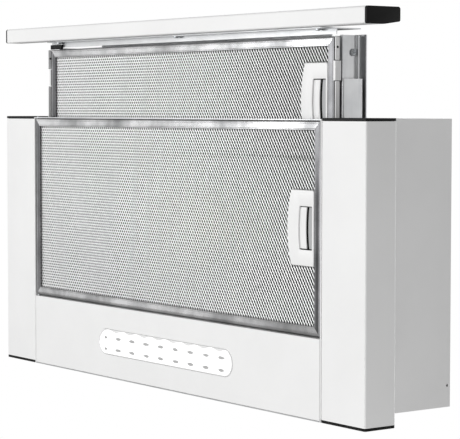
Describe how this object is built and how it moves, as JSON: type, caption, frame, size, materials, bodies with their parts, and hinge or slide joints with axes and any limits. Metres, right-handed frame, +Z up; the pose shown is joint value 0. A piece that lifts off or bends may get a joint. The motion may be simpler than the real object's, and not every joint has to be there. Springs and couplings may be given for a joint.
{
  "type": "under cabinet range hood",
  "caption": "Slim white under-cabinet range hood with side rails, a slide-out filter drawer with front bar, a swing-down grease filter, lamp panel, blower and round outlet.",
  "frame": {"origin": "on the wall plane at the hood's centre line, level with the top faces of the side rails, which bear on the cabinet's lower edge", "axes": "+X to the hood's right, -Y out to the front where the drawer slides, +Z up"},
  "size_m": [0.6, 0.3566, 0.1806],
  "materials": {
    "white_paint": "satin white powder coat",
    "black_plastic": "fine-grained moulded",
    "grey_plastic": "moulded",
    "white_plastic": "smooth moulded",
    "zinc_steel": "zinc-plated sheet",
    "aluminium": "bright rolled sheet",
    "mesh_aluminium": "expanded mesh",
    "lens_plastic": "frosted diffuser",
    "board_green": "solder-masked board",
    "motor_steel": "pressed steel"
  },
  "bodies": {
    "hood_body": {"housing_shell": "white_paint", "rear_panel": "white_paint", "front_panel": "white_paint", "front_tie_strip": "white_paint", "light_panel": "white_paint", "lamp_lens": "lens_plastic", "lamp_tray": "white_plastic", "led_board": "board_green", "left_side_rail": "white_paint", "left_rail_front_cap": "black_plastic", "left_rail_rear_cap": "black_plastic", "right_side_rail": "white_paint", "right_rail_front_cap": "black_plastic", "right_rail_rear_cap": "black_plastic", "blower_half_left": "grey_plastic", "blower_half_right": "grey_plastic", "inlet_ring_left": "grey_plastic", "inlet_ring_right": "grey_plastic", "motor_body": "motor_steel", "motor_bracket": "zinc_steel", "outlet_collar": "black_plastic", "flap_pin": "zinc_steel", "wiring_box": "grey_plastic", "run_capacitor": "aluminium", "cable_gland": "black_plastic", "left_body_slide": "zinc_steel", "right_body_slide": "zinc_steel"},
    "drawer": {"drawer_frame": "zinc_steel", "front_bar": "white_paint", "bar_cap_left": "black_plastic", "bar_cap_right": "black_plastic", "bar_screw_left": "zinc_steel", "bar_screw_middle": "zinc_steel", "bar_screw_right": "zinc_steel", "slide_screw_left": "zinc_steel", "slide_screw_right": "zinc_steel", "bar_corner_block": "black_plastic", "drawer_stop_clip_left": "white_plastic", "drawer_stop_clip_right": "white_plastic", "control_plate": "black_plastic", "left_drawer_slide": "zinc_steel", "right_drawer_slide": "zinc_steel", "drawer_filter_frame": "aluminium", "drawer_filter_mesh": "mesh_aluminium", "drawer_latch_housing": "white_plastic"},
    "slide_middles": {"left_middle_slide": "zinc_steel", "right_middle_slide": "zinc_steel"},
    "main_filter": {"main_filter_frame": "aluminium", "main_filter_mesh": "mesh_aluminium", "main_latch_housing": "white_plastic", "filter_front_pin": "zinc_steel", "filter_rear_pin": "zinc_steel"},
    "main_latch": {"main_latch_slider": "white_plastic"},
    "drawer_latch": {"drawer_latch_slider": "white_plastic"},
    "fan": {"impeller": "black_plastic", "fan_shaft": "zinc_steel"},
    "flap_front": {"outlet_flap_front": "black_plastic"},
    "flap_rear": {"outlet_flap_rear": "black_plastic"},
    "fan_knob": {"fan_speed_knob": "white_plastic"},
    "lamp_knob_body": {"lamp_knob": "white_plastic"}
  },
  "joints": [
    {"name": "drawer_slide", "type": "slide", "parent": "hood_body", "child": "drawer", "axis": [0, -1, 0], "range_m": [-0.076, 0.052]},
    {"name": "slide_middles_slide", "type": "slide", "parent": "hood_body", "child": "slide_middles", "axis": [0, -1, 0], "range_m": [-0.038, 0.026]},
    {"name": "main_filter_swing", "type": "hinge", "parent": "hood_body", "child": "main_filter", "pos_m": [-0.237, -0.1673, -0.0315], "axis": [0, 1, 0], "range_deg": [0, 75]},
    {"name": "main_latch_slide", "type": "slide", "parent": "main_filter", "child": "main_latch", "axis": [-1, 0, 0], "range_m": [0, 0.0045], "stiffness_N_per_m": 300, "springref_m": -0.002},
    {"name": "drawer_latch_slide", "type": "slide", "parent": "drawer", "child": "drawer_latch", "axis": [-1, 0, 0], "range_m": [0, 0.0045], "stiffness_N_per_m": 300, "springref_m": -0.002},
    {"name": "fan_spin", "type": "hinge", "parent": "hood_body", "child": "fan", "pos_m": [0, -0.08, 0.052], "axis": [1, 0, 0], "continuous": true},
    {"name": "flap_front_swing", "type": "hinge", "parent": "hood_body", "child": "flap_front", "pos_m": [0, -0.10245, 0.1262], "axis": [-1, 0, 0], "range_deg": [0, 80]},
    {"name": "flap_rear_swing", "type": "hinge", "parent": "hood_body", "child": "flap_rear", "pos_m": [0, -0.10245, 0.1262], "axis": [1, 0, 0], "range_deg": [0, 80]},
    {"name": "fan_knob_slide", "type": "slide", "parent": "drawer", "child": "fan_knob", "axis": [1, 0, 0], "range_m": [0, 0.018]},
    {"name": "lamp_knob_slide", "type": "slide", "parent": "drawer", "child": "lamp_knob_body", "axis": [1, 0, 0], "range_m": [0, 0.008]}
  ],
  "couplings": [
    {"joint": "slide_middles_slide", "follows": "drawer_slide", "ratio": 0.5}
  ]
}
